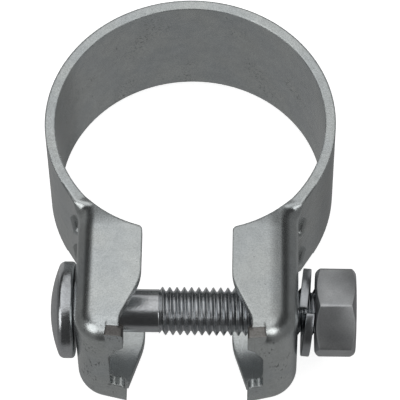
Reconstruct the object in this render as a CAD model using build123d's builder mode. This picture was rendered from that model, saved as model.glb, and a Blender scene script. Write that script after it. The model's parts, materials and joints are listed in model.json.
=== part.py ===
from build123d import *
from math import cos, radians, sin, sqrt, tan
import os

os.makedirs("parts", exist_ok=True)

# Strip: one pressed length of steel, with the pipe's axis along Z and the ears towards -Y
seat_radius = 28.2
sheet = 2.2
band_width = 28.5
wrap_angle = 60.0

# Ears: a flat web for the bolt, with flanges above, below and in front that open to the gap
web_face = 22.7
web_bend_radius = 7.0
flange_bend_radius = 4.4
ear_front = 50.2
ear_corner_radius = 6.5
flare = 9.0
rim_roll = 0.4
bend_roll = 0.8
run_in_depth = 6.0

# Free edges of the flanges, with the front ones set back from the edge beside the ring
gap_half = 9.2
gap_knee = 38.5
gap_knee_radius = 10.0
lip_foot = 46.9
lip_foot_setback = 4.2
lip_foot_radius = 4.0
lower_knee = 37.4
lower_knee_radius = 15.0
lower_spread = 17.5
flange_corner_radius = 1.3
bay_setback = 6.5
bay_head = 5.4
bay_shoulder = 9.0
bay_shoulder_setback = 4.9
bay_corner_radius = 3.0
bay_foot = 6.4
bay_foot_radius = 1.0
prong_setback = 3.3
prong_root = 10.4
prong_radius = 1.3
prong_corner_radius = 1.2
foot_corner_radius = 3.0
butt_setback = 7.2
butt_step = 0.25

# Gusset beads pressed outwards across the bend between the ring and each web
bead_height = 6.0
bead_length = 8.4
bead_crown = 3.2
bead_radius = 1.9
bead_sink = 0.7
bead_shift = 1.0
dent_radius = 1.3
dent_lift = 0.3

# Bolt, M10 x 1.5 with a low round head and a short square neck
bolt_setback = 37.4
bolt_length = 55.0
thread_radius = 5.0
shank_radius = 4.45
thread_start = 17.2
thread_run = 0.55
tip_chamfer = 1.0
head_radius = 10.0
head_rim = 3.0
head_dome = 2.1
head_edge = 0.5
head_play = 0.4
neck_width = 10.0
neck_length = 2.2
neck_corner = 1.5
neck_clearance = 0.3
bolt_hole_radius = 5.5

# Spring washer: one left-hand turn, its split up and forwards
washer_overlap = 0.55
washer_inner = 5.3
washer_thickness = 1.85
washer_rise = 1.5
washer_split = 7.0
washer_split_angle = 64.0
washer_lean = 4.0
washer_seat = 0.1

# Hexagon nut
nut_flats = 17.0
nut_height = 8.4
nut_corner_angle = 70.0
nut_chamfer_angle = 30.0
nut_bearing_share = 0.95
nut_countersink = 0.6
thread_clearance = 0.05

# Cutting forms run past the edges they cut
past_edge = 0.5

# Worked out from the sizes above
half_width = band_width / 2
outer_radius = seat_radius + sheet
wrap = radians(wrap_angle)
half_bend = (90.0 - wrap_angle) / 2
slope = tan(radians(flare))
flare_cosine = cos(radians(flare))
reach = 2 * (ear_front + outer_radius)
gap_side = gap_half / 2
bay_depth = gap_half + bay_setback
bay_shoulder_depth = gap_half + bay_shoulder_setback
prong_tip = gap_half + prong_setback
butt_end = gap_half + butt_setback
lip_front = gap_half + lip_foot_setback

under_head = -web_face - head_play
bolt_end = under_head + bolt_length
thread_begin = under_head + thread_start
nut_face = web_face + 2 * washer_seat + washer_thickness + washer_rise
washer_outer = nut_flats / 2 + washer_overlap

leave = Vector(outer_radius * sin(wrap), -outer_radius * cos(wrap), 0)
heading = Vector(-cos(wrap), -sin(wrap), 0)
inward = Vector(-sin(wrap), cos(wrap), 0)
run_length = (leave.X - web_face) / cos(wrap)
bend_corner = leave + heading * run_length
bend_tangent = web_bend_radius * tan(radians(half_bend))
bend_start = leave + heading * (run_length - bend_tangent)
bend_center = Vector(web_face + web_bend_radius, bend_corner.Y - bend_tangent, 0)
mid_heading = Vector(-sin(radians(half_bend)), -cos(radians(half_bend)), 0)
mid_inward = Vector(-cos(radians(half_bend)), sin(radians(half_bend)), 0)
mid_bend = bend_center + mid_inward * web_bend_radius


def flange_level(x, inset=0.0):
    """Height of the upper flange at a distance x from the middle plane."""
    return half_width + (web_face - x) * slope - inset / flare_cosine


def front_level(x, inset=0.0):
    """Place along Y of the front flange at a distance x from the middle plane."""
    return -ear_front - (web_face - x) * slope + inset / flare_cosine


def ear_block(inset):
    """Solid envelope of the right ear, drawn in from the outer face by inset."""
    run_start = leave + inward * inset
    web = web_face - inset
    turn = web_bend_radius + inset
    rounding = flange_bend_radius - inset
    with BuildPart() as block:
        with BuildSketch():
            with BuildLine():
                run = Line(run_start, bend_start + inward * inset)
                bend = CenterArc(bend_center, turn, 180 - 2 * half_bend, 2 * half_bend)
                wall = FilletPolyline(
                    bend @ 1,
                    (web, front_level(web, inset)),
                    (gap_side, front_level(gap_side, inset)),
                    radius=ear_corner_radius - inset,
                )
                Polyline(wall @ 1, (gap_side, 0), (gap_half, 0), run @ 0)
            make_face()
        extrude(amount=band_width, both=True)
        with BuildSketch(Plane.XZ):
            side = web_face + web_bend_radius
            Polygon(
                (side, flange_level(side, inset)),
                (0, flange_level(0, inset)),
                (0, -flange_level(0, inset)),
                (side, -flange_level(side, inset)),
                align=None,
            )
        extrude(amount=reach, both=True, mode=Mode.INTERSECT)
        for face in (block.faces().sort_by(Axis.Z)[-1], block.faces().sort_by(Axis.Z)[0]):
            fillet(
                face.edges().filter_by(
                    lambda edge: edge.center().X > gap_half and edge.center().Y < run_start.Y
                ),
                rounding,
            )
    return block.part


ear_outside = ear_block(0.0)
ear_inside = ear_block(sheet)

# Between the ring and the bend the strip's upper and lower edges stay nearly sharp, and in the
# bend they roll over quickly to the ear's own section
join_plane = Plane(origin=mid_bend, x_dir=mid_inward, z_dir=mid_heading)
stations = ((leave, rim_roll), (bend_start, bend_roll))
with BuildPart() as run_in:
    for place, rounding in stations:
        with BuildSketch(Plane(origin=place, x_dir=inward, z_dir=heading)):
            section = Rectangle(run_in_depth, band_width, align=(Align.MIN, Align.CENTER))
            fillet(section.vertices().group_by(Axis.X)[0], rounding)
    with BuildSketch(join_plane):
        add(join_plane.to_local_coords(ear_outside & Face.make_rect(reach, reach, join_plane)))
        Rectangle(run_in_depth, reach, align=(Align.MIN, Align.CENTER), mode=Mode.INTERSECT)
    loft(ruled=True)


def spindle(place, radius):
    """A bead's form: pointed at both ends, lying along the strip across the bend."""
    with BuildPart() as form:
        with BuildSketch(Plane(origin=place, x_dir=mid_heading, z_dir=(0, 0, 1))):
            Polygon(
                (-bead_length / 2, 0),
                (-bead_crown / 2, radius),
                (bead_crown / 2, radius),
                (bead_length / 2, 0),
                align=None,
            )
        revolve(axis=Axis(place, mid_heading))
    return form.part


bead_place = mid_bend - mid_heading * bead_shift
bead = spindle(bead_place + mid_inward * bead_sink, bead_radius)
dent = spindle(bead_place + mid_inward * (sheet + dent_lift), dent_radius)

# Above, between the drawn corner and the free edge, nothing is bent: the upper flange ends against
# the front one, whose sheared edge shows a small step below it. The lower flange is bent all along.
corner_line = Vector(-1, -slope, slope).normalized()
corner_side = Vector(slope, -1, 0).normalized()
corner_place = Vector(butt_end, front_level(butt_end), flange_level(butt_end))
with BuildPart() as butt_corner:
    with BuildSketch(Plane(origin=corner_place, x_dir=corner_side, z_dir=corner_line)):
        Rectangle(flange_bend_radius, flange_bend_radius, align=Align.MAX)
        Rectangle(sheet, butt_step, align=Align.MAX, mode=Mode.SUBTRACT)
    extrude(amount=butt_setback)

# The flanges' free edges are straight beside the ring and then spread forwards. The upper one is
# straight again where it meets the front flange, and the lower one runs on round the bend.
lip_end = front_level(lip_front, sheet) - butt_step
lower_run = ear_front - lower_knee
lower_front = gap_half + 2 * lower_run * tan(radians(lower_spread))
lower_end = -ear_front - lower_run


def lip_cut(points, radii):
    """Takes the upper flange away on the gap's side of a free edge drawn from above."""
    with BuildPart() as cut:
        with BuildSketch(Plane.XY.offset(flange_level(lip_front, sheet))):
            with BuildLine():
                edge = FilletPolyline(*points, radius=radii)
                Polyline(edge @ 1, (0, points[-1][1]), (0, 0), edge @ 0)
            make_face()
        extrude(amount=half_width)
    return cut.part


upper_lip = lip_cut(
    ((gap_half, 0), (gap_half, -gap_knee), (lip_front, -lip_foot), (lip_front, lip_end)),
    (gap_knee_radius, lip_foot_radius),
)
lower_lip = lip_cut(
    ((gap_half, 0), (gap_half, -lower_knee), (lower_front, lower_end)),
    (lower_knee_radius,),
)

# The free edge of the front flange, cut from where the bends' inside begins: a prong above with
# a slanting shoulder, a deep bay, and a prong below with a square foot
front_plane = Plane.XZ.offset(-front_level(prong_tip, flange_bend_radius))
with BuildPart() as bay_cut:
    with BuildSketch(front_plane):
        with BuildLine():
            FilletPolyline(
                (0, -band_width),
                (prong_tip, -band_width),
                (prong_tip, -bay_foot),
                (bay_depth, -bay_foot),
                (bay_depth, bay_head),
                (bay_shoulder_depth, bay_shoulder),
                (prong_tip, prong_root),
                (prong_tip, band_width),
                (0, band_width),
                radius=(
                    0,
                    0,
                    prong_radius,
                    bay_foot_radius,
                    bay_corner_radius,
                    bay_corner_radius,
                    prong_radius,
                    0,
                    0,
                ),
                close=True,
            )
        make_face()
    extrude(amount=reach)

prong_top = flange_level(prong_tip)


def prong_cut(radius):
    """Rounds the upper prong's outer corner."""
    with BuildPart() as cut:
        with BuildSketch(front_plane):
            with Locations((prong_tip, prong_top)):
                Rectangle(radius, radius, align=(Align.MIN, Align.MAX))
            with Locations((prong_tip + radius, prong_top - radius)):
                Circle(radius, mode=Mode.SUBTRACT)
        extrude(amount=reach)
    return cut.part


with BuildPart() as ear:
    add(ear_outside)
    split(bisect_by=join_plane, keep=Keep.TOP)
    add(run_in.part)
    with Locations((0, 0, bead_height), (0, 0, -bead_height)):
        add(bead)
    add(butt_corner.part)
    add(ear_inside, mode=Mode.SUBTRACT)
    with Locations((0, 0, bead_height), (0, 0, -bead_height)):
        add(dent, mode=Mode.SUBTRACT)
    Cylinder(seat_radius, reach, mode=Mode.SUBTRACT)
    for cut in (upper_lip, prong_cut(prong_corner_radius), bay_cut.part):
        add(cut, mode=Mode.SUBTRACT)
    for cut in (lower_lip, prong_cut(foot_corner_radius)):
        mirror(cut, about=Plane.XY, mode=Mode.SUBTRACT)
    rear_corners = ear.edges().filter_by(Axis.Z).filter_by(
        lambda edge: abs(edge.center().X - gap_half) < rim_roll and edge.center().Y > -gap_knee
    )
    fillet(rear_corners, flange_corner_radius)

wedge = leave * (reach / outer_radius)
with BuildPart() as clamp_band:
    with BuildSketch():
        Circle(outer_radius)
        Circle(seat_radius, mode=Mode.SUBTRACT)
        Polygon(
            (0, 0),
            (wedge.X, wedge.Y),
            (-wedge.X, wedge.Y),
            align=None,
            mode=Mode.SUBTRACT,
        )
    extrude(amount=half_width, both=True)
    add(ear.part)
    mirror(ear.part, about=Plane.YZ)
    with BuildSketch(Plane.YZ):
        with Locations((-bolt_setback, 0)):
            Circle(bolt_hole_radius)
    extrude(amount=reach, mode=Mode.SUBTRACT)
    with BuildSketch(Plane.YZ):
        with Locations((-bolt_setback, 0)):
            RectangleRounded(
                neck_width + 2 * neck_clearance,
                neck_width + 2 * neck_clearance,
                neck_corner + neck_clearance,
            )
    extrude(amount=-reach, mode=Mode.SUBTRACT)

clamp_band.part.label = "clamp_band"
export_step(clamp_band.part, "parts/clamp_band.step")

bolt_axis = Axis((0, -bolt_setback, 0), (1, 0, 0))
along_bolt = Plane(origin=(0, -bolt_setback, 0), x_dir=(1, 0, 0), z_dir=(0, -1, 0))

with BuildPart() as clamp_bolt:
    with BuildSketch(along_bolt):
        with BuildLine():
            dome = TangentArc(
                (under_head - head_rim - head_dome, 0),
                (under_head - head_rim, head_radius),
                tangent=(0, 1),
            )
            Polyline(
                dome @ 1,
                (under_head, head_radius),
                (under_head, shank_radius),
                (thread_begin, shank_radius),
                (thread_begin + thread_run, thread_radius),
                (bolt_end - tip_chamfer, thread_radius),
                (bolt_end, thread_radius - tip_chamfer),
                (bolt_end, 0),
                dome @ 0,
            )
        section = make_face()
        chamfer(section.vertices().group_by(Axis.Y)[-1], head_edge)
    revolve(axis=bolt_axis)
    with BuildSketch(Plane.YZ.offset(under_head)):
        with Locations((-bolt_setback, 0)):
            RectangleRounded(neck_width, neck_width, neck_corner)
    extrude(amount=neck_length)

clamp_bolt.part.label = "clamp_bolt"
export_step(clamp_bolt.part, "parts/clamp_bolt.step")

# The washer is wound about Z and then laid on the bolt, leaning with its front towards the ear
washer_turn = (360 - washer_split) / 360
washer_mid = (washer_outer + washer_inner) / 2
with BuildPart() as washer_coil:
    with BuildLine():
        turn = Helix(washer_rise / washer_turn, washer_rise, washer_mid, lefthand=True)
    with BuildSketch(Plane(origin=turn @ 0, x_dir=(1, 0, 0), z_dir=turn % 0)):
        Rectangle(washer_outer - washer_inner, washer_thickness)
    sweep(is_frenet=True)

split_side = Vector(0, -cos(radians(washer_split_angle)), sin(radians(washer_split_angle)))
back_side = Vector(0, sin(radians(washer_split_angle)), cos(radians(washer_split_angle)))
washer_axis = Vector(1, 0, 0) * cos(radians(washer_lean)) - back_side * sin(radians(washer_lean))
washer_center = Vector((web_face + nut_face) / 2, -bolt_setback, 0)
washer_plane = Plane(origin=washer_center, x_dir=split_side, z_dir=washer_axis)
with BuildPart() as spring_washer:
    with Locations(washer_plane.location * Location((0, 0, -washer_rise / 2), (0, 0, -washer_split / 2))):
        add(washer_coil.part)

spring_washer.part.label = "spring_washer"
export_step(spring_washer.part, "parts/spring_washer.step")

corner_side_angle = radians(nut_corner_angle)
nut_plane = Plane(
    origin=(nut_face, -bolt_setback, 0),
    x_dir=(0, -cos(corner_side_angle), sin(corner_side_angle)),
    z_dir=(1, 0, 0),
)
nut_envelope = nut_flats / sqrt(3) + past_edge
nut_bearing = nut_flats * nut_bearing_share / 2
chamfer_run = (nut_envelope - nut_bearing) * tan(radians(nut_chamfer_angle))
with BuildPart() as hex_nut:
    with BuildSketch(nut_plane):
        RegularPolygon(nut_flats / 2, 6, major_radius=False)
        Circle(thread_radius + thread_clearance, mode=Mode.SUBTRACT)
    extrude(amount=nut_height)
    chamfer(hex_nut.edges().filter_by(GeomType.CIRCLE), nut_countersink)
    with BuildSketch(along_bolt):
        Polygon(
            (nut_face, 0),
            (nut_face, nut_bearing),
            (nut_face + chamfer_run, nut_envelope),
            (nut_face + nut_height - chamfer_run, nut_envelope),
            (nut_face + nut_height, nut_bearing),
            (nut_face + nut_height, 0),
            align=None,
        )
    revolve(axis=bolt_axis, mode=Mode.INTERSECT)

hex_nut.part.label = "hex_nut"
export_step(hex_nut.part, "parts/hex_nut.step")
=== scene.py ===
"""Looks of a pressed steel band clamp for exhaust pipes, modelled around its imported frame.

The file is laid out as an add-on and run as a script. Each operator makes one piece of the clamp,
or the stage that it is photographed on. Sizes are in metres, in the frame's own axes: Z along the
pipe, X along the bolt towards the nut, and the ears towards -Y.
"""

import json
import math
from collections import namedtuple

import bmesh
import bpy
from bpy.props import FloatProperty, FloatVectorProperty, PointerProperty, StringProperty
from mathutils import Matrix, Vector


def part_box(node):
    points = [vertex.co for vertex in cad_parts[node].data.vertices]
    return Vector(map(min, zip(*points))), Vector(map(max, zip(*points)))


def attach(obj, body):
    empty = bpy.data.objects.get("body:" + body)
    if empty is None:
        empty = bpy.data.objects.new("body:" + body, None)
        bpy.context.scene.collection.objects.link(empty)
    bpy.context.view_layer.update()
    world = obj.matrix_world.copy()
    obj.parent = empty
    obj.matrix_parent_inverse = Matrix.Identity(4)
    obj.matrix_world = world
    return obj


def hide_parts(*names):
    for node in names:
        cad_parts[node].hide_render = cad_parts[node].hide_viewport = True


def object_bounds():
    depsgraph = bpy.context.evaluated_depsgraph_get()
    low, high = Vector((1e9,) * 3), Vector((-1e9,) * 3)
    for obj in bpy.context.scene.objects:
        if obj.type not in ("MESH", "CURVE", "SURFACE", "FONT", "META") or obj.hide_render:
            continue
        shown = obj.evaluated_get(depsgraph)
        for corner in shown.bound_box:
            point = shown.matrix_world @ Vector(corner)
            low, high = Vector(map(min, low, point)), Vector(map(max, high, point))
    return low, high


bl_info = {
    "name": "Exhaust Band Clamp",
    "version": (1, 0, 0),
    "blender": (4, 5, 0),
    "location": "3D View > Sidebar > Clamp",
    "description": "Zinc-plated band clamp with a threaded bolt, a spring washer and a nut",
    "category": "Object",
}

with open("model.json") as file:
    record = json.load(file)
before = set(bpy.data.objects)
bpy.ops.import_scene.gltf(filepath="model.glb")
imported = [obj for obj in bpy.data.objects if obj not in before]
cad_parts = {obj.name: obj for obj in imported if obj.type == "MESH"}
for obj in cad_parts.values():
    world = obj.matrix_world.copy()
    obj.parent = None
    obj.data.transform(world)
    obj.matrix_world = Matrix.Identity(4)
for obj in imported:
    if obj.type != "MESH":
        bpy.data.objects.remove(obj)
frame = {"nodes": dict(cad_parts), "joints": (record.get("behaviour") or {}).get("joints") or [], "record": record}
cad_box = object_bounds()

MM = 0.001
MERGE = 0.002 * MM      # vertices closer than this are one
IN_PLANE = 1e-6         # how near to a plane, in metres, a vertex counts as in it
CUT_WITHIN = 1e-7       # how near to a cut, in metres, it takes an old vertex and makes no new one

joints = {joint["name"]: joint for joint in frame["joints"]}
bolt_low, bolt_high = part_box("clamp_bolt")
nut_low, nut_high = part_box("hex_nut")
washer_low, washer_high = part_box("spring_washer")
AXIS_POINT = Vector((0.0, joints["nut_turn"]["pos_m"][1], joints["nut_turn"]["pos_m"][2]))
THREAD_LEAD = math.tau / frame["record"]["behaviour"]["couplings"][0]["ratio"]


class BoltSizes(bpy.types.PropertyGroup):
    """Sizes of the bolt."""

    shank: FloatProperty(
        name="Shank radius", description="Plain part under the head", default=4.45 * MM, unit="LENGTH")
    crest: FloatProperty(
        name="Thread crest radius", description="Outside of the thread",
        default=5.0 * MM, unit="LENGTH")
    root: FloatProperty(
        name="Thread root radius", description="Bottom of the thread", default=4.1 * MM, unit="LENGTH")
    thread_from: FloatProperty(
        name="Thread start", description="Where the thread starts along X",
        default=-5.9 * MM, unit="LENGTH")
    valley: FloatProperty(
        name="Thread valley", description="A valley's place along X on top",
        default=-5.693 * MM, unit="LENGTH")
    tip: FloatProperty(
        name="Tip chamfer", description="Chamfer at the thread's end", default=1.0 * MM, unit="LENGTH")
    head_rim: FloatProperty(
        name="Head rim", description="Height of the head's straight rim",
        default=3.0 * MM, unit="LENGTH")
    head_dome: FloatProperty(
        name="Head dome", description="Height of the dome on the head", default=2.1 * MM, unit="LENGTH")
    head_edge: FloatProperty(
        name="Head edge", description="Rounding of the head's edges", default=0.8 * MM, unit="LENGTH")
    neck: FloatProperty(
        name="Neck width", description="Width of the square neck", default=10.0 * MM, unit="LENGTH")
    neck_length: FloatProperty(
        name="Neck length", description="Length of the square neck", default=2.2 * MM, unit="LENGTH")
    neck_corner: FloatProperty(
        name="Neck corner", description="Rounding of the neck's corners",
        default=1.5 * MM, unit="LENGTH")


class WasherSizes(bpy.types.PropertyGroup):
    """Sizes of the spring washer."""

    outer: FloatProperty(
        name="Outer radius", description="Outside of the coil", default=9.05 * MM, unit="LENGTH")
    inner: FloatProperty(
        name="Inner radius", description="Inside of the coil", default=5.3 * MM, unit="LENGTH")
    thickness: FloatProperty(
        name="Thickness", description="Thickness of the coil", default=1.7 * MM, unit="LENGTH")
    rise: FloatProperty(
        name="Rise", description="How far the ends stand apart", default=1.6 * MM, unit="LENGTH")
    split: FloatProperty(
        name="Split", description="Angle left open at the split",
        default=math.radians(7.0), unit="ROTATION")
    split_at: FloatProperty(
        name="Split place", description="Angle of the split above the front",
        default=math.radians(64.0), unit="ROTATION")
    lean: FloatProperty(
        name="Lean", description="How far the slack washer leans",
        default=math.radians(4.0), unit="ROTATION")
    edge: FloatProperty(
        name="Edge", description="Rounding of the coil's edges", default=0.16 * MM, unit="LENGTH")


class NutSizes(bpy.types.PropertyGroup):
    """Sizes of the hexagon nut."""

    flats: FloatProperty(
        name="Across flats", description="Width across the flats", default=17.0 * MM, unit="LENGTH")
    corner_at: FloatProperty(
        name="Corner place", description="Angle of a corner above the front",
        default=math.radians(70.0), unit="ROTATION")
    chamfer: FloatProperty(
        name="Chamfer angle", description="Angle of the chamfer at both ends",
        default=math.radians(30.0), unit="ROTATION")
    bearing: FloatProperty(
        name="Bearing share", description="Bearing circle as a share of the flats",
        default=0.95, subtype="FACTOR")
    bore: FloatProperty(
        name="Bore radius", description="Radius at the nut's thread crests",
        default=4.2 * MM, unit="LENGTH")
    countersink: FloatProperty(
        name="Countersink", description="Widening at the bore's ends", default=1.4 * MM, unit="LENGTH")
    corner: FloatProperty(
        name="Corner rounding", description="Rounding of the six corners",
        default=0.35 * MM, unit="LENGTH")
    edge: FloatProperty(
        name="Edge", description="Rounding of the other edges", default=0.12 * MM, unit="LENGTH")


class BandSizes(bpy.types.PropertyGroup):
    """Sizes of the band's finish."""

    sheared: FloatProperty(
        name="Sheared area", description="Largest area of a sheared edge's face", default=200 * MM ** 2,
        unit="AREA")
    sheared_from: FloatProperty(
        name="Sheared start", description="Place along Y that the ears' sheared edges lie ahead of",
        default=-32.0 * MM, unit="LENGTH")
    bend_from: FloatProperty(
        name="Soft bend start", description="Where the nut's ear starts to roll over",
        default=16.4 * MM, unit="LENGTH")
    bend_to: FloatProperty(
        name="Soft bend end", description="Where its own bend takes over",
        default=21.7 * MM, unit="LENGTH")
    bend_drop: FloatProperty(
        name="Soft bend drop", description="How far the roll drops", default=0.48 * MM, unit="LENGTH")
    edge: FloatProperty(
        name="Sheared edge", description="Rounding of the strip's edges",
        default=0.6 * MM, unit="LENGTH")


class StudioSettings(bpy.types.PropertyGroup):
    """Camera and light."""

    azimuth: FloatProperty(
        name="Azimuth", description="Camera angle round the clamp",
        default=math.radians(1.9), unit="ROTATION")
    elevation: FloatProperty(
        name="Elevation", description="Camera angle above the floor",
        default=math.radians(59.32), unit="ROTATION")
    roll: FloatProperty(
        name="Roll", description="Camera roll", default=math.radians(-1.0), unit="ROTATION")
    distance: FloatProperty(
        name="Distance", description="Camera to target", default=639.0 * MM, unit="LENGTH")
    lens: FloatProperty(
        name="Lens", description="Focal length in mm on a 36 mm sensor", default=272.7)
    target: FloatVectorProperty(
        name="Target", description="Point that the camera looks at",
        default=(2.105 * MM, -10.704 * MM, 0.0), subtype="XYZ")
    overhead: FloatProperty(name="Overhead", description="Light of the sky above", default=0.85)
    middle: FloatProperty(
        name="Middle", description="Light of the room just under the sky", default=0.025)
    side: FloatProperty(name="Sides", description="Light of the room's walls", default=0.18)
    ahead: FloatProperty(name="Ahead", description="Light from the camera's side", default=0.05)
    behind: FloatProperty(
        name="Behind", description="Dimmer light over the back, as the rims show it", default=0.6)
    rear: FloatProperty(
        name="Rear", description="Light of the wall behind the ring", default=0.4)
    left: FloatProperty(
        name="Above left", description="Brighter light over the head's ear", default=1.05)
    low_right: FloatProperty(
        name="Low right", description="Dimmer light low on the nut's side", default=0.17)
    below: FloatProperty(name="Below", description="Light from below the horizon", default=0.27)


class FinishColours(bpy.types.PropertyGroup):
    """Colours of the finishes, as sRGB hex values."""

    sheet: StringProperty(
        name="Strip", description="Bright zinc plate on the strip", default="CBCFCE")
    sheet_cool: StringProperty(
        name="Strip, cool", description="Cooler clouds on the strip", default="C5CACB")
    shear: StringProperty(name="Sheared edge", description="Thin plate on the edges", default="989693")
    shear_dark: StringProperty(name="Sheared edge, dark", description="Torn steel", default="767472")
    bolt: StringProperty(name="Bolt", description="Zinc plate on the bolt", default="CBCDCF")
    bolt_cool: StringProperty(
        name="Bolt, cool", description="Bluish clouds on the bolt", default="BEC1C4")
    washer: StringProperty(name="Washer", description="Zinc plate on the washer", default="BCBFC1")
    washer_cool: StringProperty(
        name="Washer, cool", description="Darker clouds on the washer", default="A9ACB0")
    nut: StringProperty(name="Nut", description="Zinc plate on the nut", default="C9CBCC")
    nut_dark: StringProperty(
        name="Nut, dark", description="Darker clouds on the nut", default="B6B8BA")
    floor: StringProperty(name="Floor", description="Pale floor", default="F4F4F4")


def linear(hex_colour):
    """Turns an sRGB hex value into the linear RGBA that a shader takes."""
    channels = [int(hex_colour[i:i + 2], 16) / 255 for i in (0, 2, 4)]
    return [c / 12.92 if c <= 0.04045 else ((c + 0.055) / 1.055) ** 2.4 for c in channels] + [1.0]


def add_node(tree, kind, links=None, **settings):
    """Adds a node with its settings, and sets each named socket or links it to an output."""
    node = tree.nodes.new(kind)
    for name, value in settings.items():
        setattr(node, name, value)
    for name, value in (links or {}).items():
        if isinstance(value, bpy.types.NodeSocket):
            tree.links.new(value, node.inputs[name])
        else:
            node.inputs[name].default_value = value
    return node


def new_material(name):
    """A material with an empty node tree."""
    material = bpy.data.materials.new(name)
    material.use_nodes = True
    material.node_tree.nodes.clear()
    return material


# One pattern of a surface: noise whose grain is size millimetres wide, and wider along an axis where
# its scale is less than 1. From low to high on the noise the shade goes from at_low to at_high. One
# that is gathered shows only in clouds of that many millimetres. One with a limit comes in along Y,
# from none at the limit's first millimetre mark to all of it at the second. The real steel's grain is
# some 0.05 mm and its rolling marks 0.1 mm, too fine to show, so both are drawn at about 0.3 mm.
Pattern = namedtuple(
    "Pattern", "size scale low high at_low at_high gathered limit", defaults=(0.0, None))
EVEN = (1.0, 1.0, 1.0)                                  # the same along all three axes
BLOTCHES = Pattern(2.2, EVEN, 0.3, 0.7, 0.95, 1.03)     # faint unevenness of the plate on every piece
CLOUD_WIDTH = 9.0 * MM                                  # of the passivation's cooler clouds


def zinc_plate(name, light, dark, roughness, depth, edge, patterns, soft_bend=None):
    """Electroplated zinc over steel: a bright grey metal, satin from the steel's own grain.

    The plate's passivation leaves clouds of a cooler grey. The patterns darken or lighten it one
    after the other. The first is the grain, which is also the relief, depth millimetres deep. The
    edge is the rounding that the light sees where the mesh is left sharp. The soft bend is start,
    end and drop of a roll along X that is too gentle to need a mesh of its own.
    """
    material = new_material(name)
    tree = material.node_tree
    place = add_node(tree, "ShaderNodeTexCoord").outputs["Object"]
    axes = add_node(tree, "ShaderNodeSeparateXYZ", {"Vector": place})
    clouds = add_node(
        tree, "ShaderNodeTexNoise", {"Vector": place, "Scale": 1 / CLOUD_WIDTH, "Detail": 3.0})
    cool = add_node(
        tree, "ShaderNodeMapRange", {
            "Value": clouds.outputs["Fac"], "From Min": 0.35, "From Max": 0.65},
        interpolation_type="SMOOTHSTEP")
    colour = add_node(
        tree, "ShaderNodeMix", {
            "Factor": cool.outputs["Result"], "A": linear(dark), "B": linear(light)},
        data_type="RGBA").outputs["Result"]
    grain = None
    for pattern in patterns:
        scaled = add_node(tree, "ShaderNodeMapping", {"Vector": place, "Scale": pattern.scale})
        noise = add_node(tree, "ShaderNodeTexNoise", {
            "Vector": scaled.outputs["Vector"], "Scale": 1 / (pattern.size * MM), "Detail": 2.0})
        grain = grain or noise.outputs["Fac"]
        shade = add_node(
            tree, "ShaderNodeMapRange", {
                "Value": noise.outputs["Fac"], "From Min": pattern.low, "From Max": pattern.high,
                "To Min": pattern.at_low, "To Max": pattern.at_high},
            interpolation_type="SMOOTHSTEP").outputs["Result"]
        masks = []
        if pattern.gathered:
            areas = add_node(tree, "ShaderNodeTexNoise", {
                "Vector": place, "Scale": 1 / (pattern.gathered * MM), "Detail": 2.0})
            masks.append((areas.outputs["Fac"], 0.5, 0.64))
        if pattern.limit:
            masks.append((axes.outputs["Y"], pattern.limit[0] * MM, pattern.limit[1] * MM))
        for value, absent, full in masks:
            within = add_node(
                tree, "ShaderNodeMapRange", {"Value": value, "From Min": absent, "From Max": full},
                interpolation_type="SMOOTHSTEP")
            shade = add_node(
                tree, "ShaderNodeMix", {"Factor": within.outputs["Result"], "A": 1.0, "B": shade},
            ).outputs["Result"]
        colour = add_node(
            tree, "ShaderNodeVectorMath", {0: colour, "Scale": shade},
            operation="SCALE").outputs["Vector"]
    bump = {"Height": grain, "Strength": 1.0, "Distance": depth * MM}
    if edge:
        rounded = add_node(tree, "ShaderNodeBevel", {"Radius": edge}, samples=6)
        bump["Normal"] = rounded.outputs["Normal"]
    if soft_bend:
        start, end, drop = soft_bend
        roll = add_node(
            tree, "ShaderNodeMapRange", {
                "Value": axes.outputs["X"], "From Min": start, "From Max": end,
                "To Min": 1.0, "To Max": 0.0},
            interpolation_type="SMOOTHSTEP")
        on_ear = add_node(
            tree, "ShaderNodeMapRange", {
                "Value": axes.outputs["Y"],
                "From Min": cad_box[0].y / 3, "From Max": cad_box[0].y / 2},
            interpolation_type="SMOOTHSTEP")
        height = add_node(
            tree, "ShaderNodeMath", {0: roll.outputs["Result"], 1: on_ear.outputs["Result"]},
            operation="MULTIPLY")
        rolled = {"Height": height.outputs["Value"], "Strength": 1.0, "Distance": drop}
        if edge:
            rolled["Normal"] = bump["Normal"]
        bump["Normal"] = add_node(tree, "ShaderNodeBump", rolled).outputs["Normal"]
    relief = add_node(tree, "ShaderNodeBump", bump)
    shader = add_node(tree, "ShaderNodeBsdfPrincipled", {
        "Base Color": colour, "Metallic": 1.0, "Roughness": roughness,
        "Normal": relief.outputs["Normal"]})
    add_node(tree, "ShaderNodeOutputMaterial", {"Surface": shader.outputs["BSDF"]})
    return material


def axes_at(origin, x_axis, y_axis, z_axis):
    """The matrix that puts a piece's own axes along these three, at origin."""
    return Matrix.Translation(origin) @ Matrix((x_axis, y_axis, z_axis)).transposed().to_4x4()


def aim(azimuth, elevation):
    """The direction that is turned azimuth from -Y towards X and raised by elevation."""
    return Vector((
        math.sin(azimuth) * math.cos(elevation), -math.cos(azimuth) * math.cos(elevation),
        math.sin(elevation)))


def spin_round_bolt(bm, profile, steps, turn=math.tau, lead=0.0):
    """Spins points (x, radius) about the bolt's axis, with lead metres along X for each full turn."""
    verts = [bm.verts.new((x, AXIS_POINT.y, radius)) for x, radius in profile]
    edges = [bm.edges.new(pair) for pair in zip(verts, verts[1:])]
    advance = Vector((lead * turn / math.tau / steps, 0.0, 0.0))
    bmesh.ops.spin(
        bm, geom=verts + edges, cent=AXIS_POINT, axis=(1, 0, 0), dvec=advance,
        angle=turn, steps=steps, use_merge=lead == 0.0 and turn == math.tau, use_duplicate=False)


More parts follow.
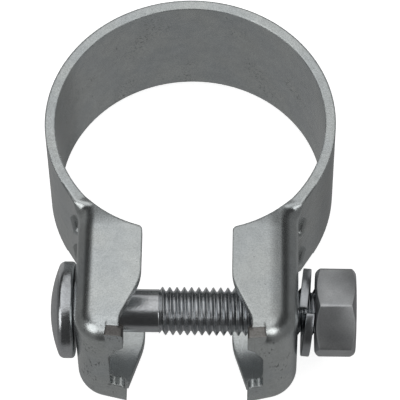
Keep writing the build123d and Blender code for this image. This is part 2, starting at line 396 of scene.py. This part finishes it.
def round_edges(bm, edges, offset, segments, clamp_overlap=False):
    """Rounds edges of a bmesh, offset metres back from each."""
    bmesh.ops.bevel(
        bm, geom=edges, offset=offset, offset_type="OFFSET", segments=segments, profile=0.5,
        affect="EDGES", clamp_overlap=clamp_overlap, material=-1)


def radius_of(vert):
    """Distance of a vertex from the bolt's axis."""
    return math.hypot(vert.co.y - AXIS_POINT.y, vert.co.z - AXIS_POINT.z)


def set_radius(vert, radius):
    """Moves a vertex straight out from or in to the bolt's axis."""
    share = radius / max(radius_of(vert), 1e-9)
    vert.co.y = AXIS_POINT.y + (vert.co.y - AXIS_POINT.y) * share
    vert.co.z = AXIS_POINT.z + (vert.co.z - AXIS_POINT.z) * share


# One turn of a 60 degree thread: place along the lead, and height from root to crest. The rolled one
# is rounded at root and crest, and the tapped one in the nut is plain, since little of it shows.
ROLLED_FORM = (
    (0.0, 0.0), (0.06, 0.01), (0.1, 0.06), (0.13, 0.15), (0.15, 0.2), (0.36, 0.78), (0.38, 0.83),
    (0.42, 0.93), (0.46, 0.985), (0.5, 1.0), (0.54, 0.985), (0.58, 0.93), (0.62, 0.83), (0.64, 0.78),
    (0.85, 0.2), (0.87, 0.15), (0.9, 0.06), (0.94, 0.01), (1.0, 0.0),
)
TAPPED_FORM = ((0.0, 0.0), (0.08, 0.0), (0.42, 1.0), (0.58, 1.0), (0.92, 0.0), (1.0, 0.0))
ROLLED_STEPS = 64
TAPPED_STEPS = 32


def wind_thread(bm, form, steps, start, end, root, crest, valley):
    """Winds a right-hand thread about the bolt's axis and cuts it square at start and end."""
    first = valley + math.floor((start - valley) / THREAD_LEAD - 1.0) * THREAD_LEAD
    turns = math.ceil((end - first) / THREAD_LEAD) + 1
    profile = [(first + share * THREAD_LEAD, root + height * (crest - root)) for share, height in form]
    spin_round_bolt(bm, profile, steps * turns, math.tau * turns, THREAD_LEAD)
    bmesh.ops.remove_doubles(bm, verts=bm.verts, dist=2 * MERGE)
    for place, outwards in ((start, -1), (end, 1)):
        bmesh.ops.bisect_plane(
            bm, geom=bm.verts[:] + bm.edges[:] + bm.faces[:], dist=CUT_WITHIN,
            plane_co=(place, 0, 0), plane_no=(outwards, 0, 0), clear_outer=True)


def loop_at(bm, x):
    """The open edges that lie in the plane at x."""
    return [e for e in bm.edges if e.is_boundary and all(abs(v.co.x - x) < IN_PLANE for v in e.verts)]


SHARP = math.radians(38)        # a steeper edge stays sharp, and a gentler one is shaded smooth


def sheared_faces(bm, largest, ahead_of):
    """The faces that sharp edges fence off in small patches, on the ears' upper halves only. Those on the lower
    halves are left to the strip's brighter plate as painted light, which lifts them out of the shade that the
    upper prongs cast on them.
    """
    left = set(bm.faces)
    found = []
    while left:
        patch = [left.pop()]
        for face in patch:
            for edge in face.edges:
                if edge.is_manifold and edge.calc_face_angle(0.0) < SHARP:
                    beyond = [near for near in edge.link_faces if near in left]
                    left.difference_update(beyond)
                    patch.extend(beyond)
        middle = sum(face.calc_center_median().y for face in patch) / len(patch)
        if middle < ahead_of and sum(face.calc_area() for face in patch) < largest:
            # Painted light: faces below the middle keep the strip's brighter plate, lighter than a torn edge,
            # where the upper prongs shade them.
            found.extend(face for face in patch if face.calc_center_median().z > 0)
    return found


def finish_mesh(bm, name, body, replaced, materials):
    """Makes a piece of the bmesh, smooth but for its sharp edges, and gives it to its body."""
    bmesh.ops.recalc_face_normals(bm, faces=bm.faces)
    for face in bm.faces:
        face.smooth = True
    for edge in bm.edges:
        edge.smooth = edge.is_manifold and edge.calc_face_angle(0.0) < SHARP
    mesh = bpy.data.meshes.new(name)
    bm.to_mesh(mesh)
    bm.free()
    if mesh.has_custom_normals:
        mesh.attributes.remove(mesh.attributes["custom_normal"])
    for material in materials:
        mesh.materials.append(material)
    piece = bpy.data.objects.new(name, mesh)
    bpy.context.scene.collection.objects.link(piece)
    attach(piece, body)
    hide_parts(replaced)
    return piece


class CLAMP_OT_band(bpy.types.Operator):
    """Dress the pressed band: merge its mesh, smooth its bends, round its sheared edges and plate it"""

    bl_idname = "clamp.band"
    bl_label = "Band"

    def execute(self, context):
        sizes = context.scene.clamp_band_sizes
        colours = context.scene.clamp_colours
        bm = bmesh.new()
        bm.from_mesh(frame["nodes"]["clamp_band"].data)
        bmesh.ops.remove_doubles(bm, verts=bm.verts, dist=0.001 * MM)
        # Only the upper halves' sheared edges take the darker edge plate. The lower ones keep the strip's brighter
        # plate as painted light in the prongs' shade.
        for face in sheared_faces(bm, sizes.sheared, sizes.sheared_from):
            face.material_index = 1
        front, back = cad_box[0].y / MM, cad_box[1].y / MM
        on_front = (front + 5.0, front + 2.0)
        on_back = (0.0, back / 2)
        # Thin, even plate keeps the smooth, bright satin of cold-rolled strip. The eye gets a blurred
        # image of the room, with a few dark specks and pits and fine hairlines.
        skin = zinc_plate(
            "bright zinc on cold-rolled strip", colours.sheet, colours.sheet_cool,
            roughness=0.27, depth=0.006, edge=sizes.edge, patterns=(
                Pattern(0.32, EVEN, 0.25, 0.75, 0.88, 1.08),                            # grain
                BLOTCHES,
                Pattern(0.45, EVEN, 0.57, 0.63, 1.0, 0.5, 12.0, on_back),               # specks
                Pattern(0.55, (1.0, 1.0, 0.3), 0.69, 0.74, 1.0, 0.5, 5.0),              # stains
                Pattern(0.5, (1.0, 1.0, 0.45), 0.56, 0.62, 1.0, 0.4, 3.6, on_front),    # pits
                Pattern(0.35, (1.0, 0.045, 0.045), 0.72, 0.75, 1.0, 0.88)),             # hairlines
            soft_bend=(sizes.bend_from, sizes.bend_to, sizes.bend_drop))
        # A sheared edge is half torn, so the plate on it is rough: a darker, flat, warmer grey.
        # It goes on the ears' upper halves only. The lower halves' sheared edges keep the strip's brighter plate
        # as painted light.
        edges = zinc_plate(
            "thin zinc on sheared edge", colours.shear, colours.shear_dark,
            roughness=0.42, depth=0.02, edge=sizes.edge, patterns=(
                Pattern(0.3, EVEN, 0.25, 0.75, 0.75, 1.1),))
        band = finish_mesh(bm, "band", "clamp", "clamp_band", (skin, edges))
        normals = band.modifiers.new("weighted normals", "WEIGHTED_NORMAL")
        normals.keep_sharp = True
        return {"FINISHED"}


class CLAMP_OT_bolt(bpy.types.Operator):
    """Turn the bolt: domed head, square neck, plain shank and a rolled thread"""

    bl_idname = "clamp.bolt"
    bl_label = "Bolt"

    def execute(self, context):
        sizes = context.scene.clamp_bolt_sizes
        colours = context.scene.clamp_colours
        bm = bmesh.new()
        start, end = sizes.thread_from, bolt_high.x
        runout = 0.7        # how steeply the first valley deepens out of the shank
        wind_thread(bm, ROLLED_FORM, ROLLED_STEPS, start, end, sizes.root, sizes.crest, sizes.valley)
        for vert in bm.verts:
            from_start = vert.co.x - start
            to_end = end - vert.co.x
            outermost = min(sizes.crest, sizes.shank + from_start, sizes.crest - sizes.tip + to_end)
            innermost = min(sizes.shank - from_start * runout, outermost)
            set_radius(vert, min(max(radius_of(vert), innermost), outermost))
        bmesh.ops.remove_doubles(bm, verts=bm.verts, dist=MERGE)
        bmesh.ops.edgeloop_fill(bm, edges=loop_at(bm, end))

        head_radius = (bolt_high.z - bolt_low.z) / 2
        head_out = bolt_low.x
        under_head = head_out + sizes.head_dome + sizes.head_rim
        sphere = (head_radius ** 2 + sizes.head_dome ** 2) / (2 * sizes.head_dome)
        dome_steps = 12
        reach = math.asin(head_radius / sphere)
        angles = [reach * step / dome_steps for step in range(dome_steps + 1)]
        profile = [(head_out + sphere * (1 - math.cos(a)), sphere * math.sin(a)) for a in angles]
        joint_gap = 0.04 * MM       # left open before the thread, and then bridged
        profile += [
            (under_head, head_radius), (under_head, sizes.shank), (start - joint_gap, sizes.shank)]
        spin_round_bolt(bm, profile, ROLLED_STEPS)
        turned = [v for v in bm.verts if v.co.x < start - joint_gap / 2]
        bmesh.ops.remove_doubles(bm, verts=turned, dist=MERGE)
        rim = [
            e for e in bm.edges
            if all(radius_of(v) > head_radius - MERGE for v in e.verts)
            and abs(e.verts[0].co.x - e.verts[1].co.x) < IN_PLANE
        ]
        round_edges(bm, rim, sizes.head_edge, segments=5, clamp_overlap=True)
        bmesh.ops.bridge_loops(bm, edges=loop_at(bm, start) + loop_at(bm, start - joint_gap))

        neck = bmesh.new()
        bmesh.ops.create_cube(neck, size=1.0)
        overlap = 0.2 * MM      # how far the neck reaches into the head
        bmesh.ops.scale(
            neck, vec=(sizes.neck_length + overlap, sizes.neck, sizes.neck), verts=neck.verts)
        middle = under_head + (sizes.neck_length - overlap) / 2
        bmesh.ops.translate(neck, vec=AXIS_POINT + Vector((middle, 0, 0)), verts=neck.verts)
        lengthways = [
            e for e in neck.edges if abs(e.verts[0].co.x - e.verts[1].co.x) > sizes.neck_length / 2]
        round_edges(neck, lengthways, sizes.neck_corner, segments=5)
        neck_mesh = bpy.data.meshes.new("neck")
        neck.to_mesh(neck_mesh)
        neck.free()
        bm.from_mesh(neck_mesh)
        bpy.data.meshes.remove(neck_mesh)

        # Plate with a clear passivation on cold-headed steel: the brightest metal here, a little
        # bluish, with lights that break up on the headed surface.
        material = zinc_plate(
            "blue zinc on cold-headed bolt", colours.bolt, colours.bolt_cool,
            roughness=0.24, depth=0.02, edge=0.0, patterns=(
                Pattern(0.42, EVEN, 0.25, 0.75, 0.9, 1.06),         # grain
                BLOTCHES,
                Pattern(0.5, EVEN, 0.7, 0.76, 1.0, 0.75, 7.0)))     # stains
        finish_mesh(bm, "bolt", "bolt", "clamp_bolt", (material,))
        return {"FINISHED"}


class CLAMP_OT_washer(bpy.types.Operator):
    """Wind the spring washer: one left-hand turn of square-edged wire, leaning on the bolt"""

    bl_idname = "clamp.washer"
    bl_label = "Spring washer"

    def execute(self, context):
        sizes = context.scene.clamp_washer_sizes
        colours = context.scene.clamp_colours
        bm = bmesh.new()
        half = sizes.thickness / 2
        corners = ((sizes.inner, -half), (sizes.outer, -half), (sizes.outer, half), (sizes.inner, half))
        verts = [bm.verts.new((radius, 0.0, height)) for radius, height in corners]
        section = bm.faces.new(verts)
        turn = math.tau - sizes.split
        steps = 90
        square = math.radians(40)       # every edge of the wire is steeper
        bmesh.ops.spin(
            bm, geom=[section], cent=(0, 0, 0), axis=(0, 0, -1), dvec=(0, 0, sizes.rise / steps),
            angle=turn, steps=steps, use_duplicate=False)
        bmesh.ops.recalc_face_normals(bm, faces=bm.faces)
        sharp = [e for e in bm.edges if e.is_manifold and e.calc_face_angle(0.0) > square]
        round_edges(bm, sharp, sizes.edge, segments=2)
        split_side = Vector((0, -math.cos(sizes.split_at), math.sin(sizes.split_at)))
        back_side = Vector((0, math.sin(sizes.split_at), math.cos(sizes.split_at)))
        along = Vector((math.cos(sizes.lean), 0, 0)) - back_side * math.sin(sizes.lean)
        middle = Vector(((washer_low.x + washer_high.x) / 2, AXIS_POINT.y, AXIS_POINT.z))
        across = along.cross(split_side)
        pose = axes_at(middle, split_side, across, along)
        start = Matrix.Translation((0, 0, -sizes.rise / 2)) @ Matrix.Rotation(-sizes.split / 2, 4, "Z")
        bmesh.ops.transform(bm, matrix=pose @ start, verts=bm.verts)
        # Spring steel is hard and dark, drawn square and only thinly plated: a darker satin grey, with
        # hairlines along the wire.
        material = zinc_plate(
            "zinc on ground spring steel", colours.washer, colours.washer_cool,
            roughness=0.3, depth=0.008, edge=0.0, patterns=(
                Pattern(0.3, EVEN, 0.25, 0.75, 0.9, 1.06),                              # grain
                BLOTCHES,
                Pattern(0.35, (1.0, 0.045, 0.045), 0.72, 0.75, 1.0, 0.85)))             # hairlines
        finish_mesh(bm, "washer", "washer", "spring_washer", (material,))
        return {"FINISHED"}


def mesh_object(bm, name):
    """A helper object for a boolean, made of the bmesh."""
    bmesh.ops.recalc_face_normals(bm, faces=bm.faces)
    mesh = bpy.data.meshes.new(name)
    bm.to_mesh(mesh)
    bm.free()
    helper = bpy.data.objects.new(name, mesh)
    bpy.context.scene.collection.objects.link(helper)
    return helper


class CLAMP_OT_nut(bpy.types.Operator):
    """Cut the nut: a hexagon with chamfered ends and a threaded bore"""

    bl_idname = "clamp.nut"
    bl_label = "Nut"

    def execute(self, context):
        sizes = context.scene.clamp_nut_sizes
        bolt = context.scene.clamp_bolt_sizes
        colours = context.scene.clamp_colours
        height = nut_high.x - nut_low.x
        corner_radius = sizes.flats / math.sqrt(3)

        body = bmesh.new()
        bmesh.ops.create_circle(body, cap_ends=True, segments=6, radius=corner_radius)
        side = Vector((0, -math.cos(sizes.corner_at), math.sin(sizes.corner_at)))
        along = Vector((1, 0, 0))
        pose = axes_at(AXIS_POINT + along * nut_low.x, along.cross(side), side, along)
        bmesh.ops.transform(body, matrix=pose, verts=body.verts)
        raised = bmesh.ops.extrude_face_region(body, geom=body.faces[:])
        top = [v for v in raised["geom"] if isinstance(v, bmesh.types.BMVert)]
        bmesh.ops.translate(body, vec=(height, 0, 0), verts=top)
        lengthways = [
            e for e in body.edges if abs(e.verts[0].co.x - e.verts[1].co.x) > height / 2]
        round_edges(body, lengthways, sizes.corner, segments=3)
        nut = mesh_object(body, "nut_blank")

        steps = 96
        past = 0.5 * MM         # how far each cutter stands past what it cuts
        bearing = sizes.flats * sizes.bearing / 2
        widest = corner_radius + past
        run = (widest - bearing) * math.tan(sizes.chamfer)
        envelope = bmesh.new()
        spin_round_bolt(envelope, [
            (nut_low.x, 0.0), (nut_low.x, bearing), (nut_low.x + run, widest),
            (nut_high.x - run, widest), (nut_high.x, bearing), (nut_high.x, 0.0)], steps)
        bmesh.ops.remove_doubles(envelope, verts=envelope.verts, dist=MERGE)
        chamfered = mesh_object(envelope, "nut_envelope")

        bore = bmesh.new()
        mouth = sizes.bore + sizes.countersink
        spin_round_bolt(bore, [
            (nut_low.x - past, 0.0), (nut_low.x - past, mouth + past), (nut_low.x, mouth),
            (nut_low.x + sizes.countersink, sizes.bore), (nut_high.x - sizes.countersink, sizes.bore),
            (nut_high.x, mouth), (nut_high.x + past, mouth + past), (nut_high.x + past, 0.0)], steps)
        bmesh.ops.remove_doubles(bore, verts=bore.verts, dist=MERGE)
        drill = mesh_object(bore, "nut_drill")

        clearance = 0.06 * MM       # between the two threads
        thread = bmesh.new()
        tap_from, tap_to = nut_low.x - 2 * past, nut_high.x + 2 * past
        wind_thread(
            thread, TAPPED_FORM, TAPPED_STEPS, tap_from, tap_to,
            bolt.root + clearance, bolt.crest + clearance, bolt.valley)
        bmesh.ops.edgeloop_fill(thread, edges=loop_at(thread, tap_from))
        bmesh.ops.edgeloop_fill(thread, edges=loop_at(thread, tap_to))
        tap = mesh_object(thread, "nut_tap")

        cuts = ((chamfered, "INTERSECT"), (drill, "DIFFERENCE"), (tap, "DIFFERENCE"))
        for tool, operation in cuts:
            cut = nut.modifiers.new(tool.name, "BOOLEAN")
            cut.operation = operation
            cut.solver = "EXACT"
            cut.object = tool
        context.view_layer.update()
        finished = bmesh.new()
        finished.from_object(nut, context.evaluated_depsgraph_get())
        for helper in (nut, chamfered, drill, tap):
            bpy.data.objects.remove(helper)
        chamfer_edge = math.radians(25)     # a gentler edge is part of a rounding
        sharp = [
            e for e in finished.edges
            if e.is_manifold and e.calc_face_angle(0.0) > chamfer_edge
            and all(radius_of(v) > mouth - past for v in e.verts)
        ]
        round_edges(finished, sharp, sizes.edge, segments=2)
        # Scale marks of the hot-forged steel stay under the plate: broad, matt lights on every flat.
        material = zinc_plate(
            "matt zinc on forged nut", colours.nut, colours.nut_dark,
            roughness=0.42, depth=0.012, edge=0.0, patterns=(
                Pattern(0.28, EVEN, 0.25, 0.75, 0.9, 1.06),         # grain
                BLOTCHES,
                Pattern(0.5, EVEN, 0.7, 0.76, 1.0, 0.7, 7.0)))      # stains
        finish_mesh(finished, "nut", "nut", "hex_nut", (material,))
        return {"FINISHED"}


FLOOR_RADIUS = 6.0      # metres
FLOOR_GLOW = 0.8


class CLAMP_OT_stage(bpy.types.Operator):
    """Set up the pale floor, the soft light and the camera"""

    bl_idname = "clamp.stage"
    bl_label = "Stage"

    def execute(self, context):
        studio = context.scene.clamp_studio
        colours = context.scene.clamp_colours
        scene = context.scene

        floor_bm = bmesh.new()
        bmesh.ops.create_circle(floor_bm, cap_ends=True, segments=64, radius=FLOOR_RADIUS)
        bmesh.ops.translate(floor_bm, vec=(0, 0, cad_box[0].z), verts=floor_bm.verts)
        floor_mesh = bpy.data.meshes.new("floor")
        floor_bm.to_mesh(floor_mesh)
        floor_bm.free()
        floor = bpy.data.objects.new("floor", floor_mesh)
        scene.collection.objects.link(floor)
        # Matt paper sends light back evenly, and a glow of its own keeps it pale in the clamp's shade.
        material = new_material("matt white paper")
        tree = material.node_tree
        shader = add_node(tree, "ShaderNodeBsdfPrincipled", {
            "Base Color": linear(colours.floor), "Roughness": 0.9,
            "Emission Color": linear("FFFFFF"), "Emission Strength": FLOOR_GLOW})
        add_node(tree, "ShaderNodeOutputMaterial", {"Surface": shader.outputs["BSDF"]})
        floor_mesh.materials.append(material)
        floor.visible_glossy = False

        world = bpy.data.worlds.new("soft studio")
        scene.world = world
        world.use_nodes = True
        tree = world.node_tree
        tree.nodes.clear()
        direction = add_node(tree, "ShaderNodeTexCoord").outputs["Generated"]
        axes = add_node(tree, "ShaderNodeSeparateXYZ", {"Vector": direction})
        share = add_node(tree, "ShaderNodeMapRange", {
            "Value": axes.outputs["Z"], "From Min": -1.0, "From Max": 1.0})
        ramp = add_node(tree, "ShaderNodeValToRGB", {"Fac": share.outputs["Result"]})
        # The room by height: the sine of the angle above the horizon, and the light that comes from it.
        stops = (
            (-1.0, studio.below), (-0.64, studio.below), (-0.45, studio.side),
            (0.18, studio.side), (0.34, studio.middle), (0.69, studio.middle),
            (0.785, studio.overhead), (1.0, studio.overhead))
        elements = ramp.color_ramp.elements
        while len(elements) < len(stops):
            elements.new(0.5)
        for element, (sine, light) in zip(elements, stops):
            element.position = (sine + 1) / 2
        for element, (sine, light) in zip(elements, stops):
            element.color = (light, light, light, 1.0)
        sideways = add_node(tree, "ShaderNodeMath", {0: axes.outputs["X"]}, operation="ABSOLUTE")
        across, along, up = sideways.outputs["Value"], axes.outputs["Y"], axes.outputs["Z"]
        # Parts of the room with a light of their own: where each starts and where it is full, along
        # each part of the direction that it depends on.
        patches = (
            (studio.ahead, ((across, 0.55, 0.3), (along, -0.42, -0.56), (up, -0.56, -0.42))),
            (studio.behind, ((across, 0.2, 0.1), (along, 0.36, 0.46), (up, 0.7, 0.78))),
            (studio.rear, ((along, 0.5, 0.68), (up, 0.24, 0.14))),
            (studio.left, ((axes.outputs["X"], -0.1, -0.22), (up, 0.74, 0.8))),
            (studio.low_right, (
                (axes.outputs["X"], 0.1, 0.25), (along, 0.15, 0.35), (up, -0.7, -0.8))),
        )
        seen = ramp.outputs["Color"]
        for light, borders in patches:
            inside = 1.0
            for value, outer, inner in borders:
                within = add_node(
                    tree, "ShaderNodeMapRange", {"Value": value, "From Min": outer, "From Max": inner},
                    interpolation_type="SMOOTHSTEP")
                inside = add_node(
                    tree, "ShaderNodeMath", {0: inside, 1: within.outputs["Result"]},
                    operation="MULTIPLY").outputs["Value"]
            seen = add_node(
                tree, "ShaderNodeMix", {"Factor": inside, "A": seen, "B": (light, light, light, 1.0)},
                data_type="RGBA").outputs["Result"]
        background = add_node(tree, "ShaderNodeBackground", {"Color": seen})
        add_node(tree, "ShaderNodeOutputWorld", {"Surface": background.outputs["Background"]})

        # Azimuth and elevation in degrees, distance and width in metres, power in watts.
        lights = (
            ("front left softbox", -50, 25, 0.8, 0.56, 1.24),
            ("front right softbox", 42, 28, 0.8, 0.42, 0.78),
            ("rear softbox", 180, 40, 0.8, 0.36, 0.2),
        )
        for name, azimuth, elevation, distance, width, power in lights:
            lamp = bpy.data.lights.new(name, "AREA")
            lamp.shape = "DISK"
            lamp.size = width
            lamp.energy = power
            holder = bpy.data.objects.new(name, lamp)
            back = aim(math.radians(azimuth), math.radians(elevation))
            holder.location = back * distance
            holder.rotation_mode = "QUATERNION"
            holder.rotation_quaternion = back.to_track_quat("Z", "Y")
            scene.collection.objects.link(holder)

        camera = bpy.data.cameras.new("camera")
        camera.lens = studio.lens
        camera.sensor_width = 36.0
        holder = bpy.data.objects.new("camera", camera)
        back = aim(studio.azimuth, studio.elevation)
        right = Vector((math.cos(studio.azimuth), math.sin(studio.azimuth), 0))
        place = Vector(studio.target) + back * studio.distance
        level = axes_at(place, right, back.cross(right), back)
        holder.matrix_world = level @ Matrix.Rotation(studio.roll, 4, "Z")
        scene.collection.objects.link(holder)
        scene.camera = holder
        scene.view_settings.view_transform = "Standard"
        return {"FINISHED"}


class CLAMP_PT_sidebar(bpy.types.Panel):
    """Lists the clamp's pieces and sizes"""

    bl_idname = "CLAMP_PT_sidebar"
    bl_label = "Exhaust band clamp"
    bl_space_type = "VIEW_3D"
    bl_region_type = "UI"
    bl_category = "Clamp"

    def draw(self, context):
        for operator in MAKERS:
            self.layout.operator(operator.bl_idname)
        for group, settings in GROUPS.items():
            box = self.layout.box()
            for name in settings.__annotations__:
                box.prop(getattr(context.scene, group), name)


GROUPS = {
    "clamp_band_sizes": BandSizes,
    "clamp_bolt_sizes": BoltSizes,
    "clamp_washer_sizes": WasherSizes,
    "clamp_nut_sizes": NutSizes,
    "clamp_colours": FinishColours,
    "clamp_studio": StudioSettings,
}
MAKERS = (CLAMP_OT_stage, CLAMP_OT_band, CLAMP_OT_bolt, CLAMP_OT_washer, CLAMP_OT_nut)


def register():
    """Registers the settings, the operators and the panel."""
    for group, settings in GROUPS.items():
        bpy.utils.register_class(settings)
        setattr(bpy.types.Scene, group, PointerProperty(type=settings))
    for each in (*MAKERS, CLAMP_PT_sidebar):
        bpy.utils.register_class(each)


def unregister():
    """Takes them out again."""
    for each in reversed((*MAKERS, CLAMP_PT_sidebar)):
        bpy.utils.unregister_class(each)
    for group, settings in GROUPS.items():
        delattr(bpy.types.Scene, group)
        bpy.utils.unregister_class(settings)


def main():
    register()
    bpy.ops.clamp.stage()
    bpy.ops.clamp.band()
    bpy.ops.clamp.bolt()
    bpy.ops.clamp.washer()
    bpy.ops.clamp.nut()


if __name__ == "__main__":
    main()
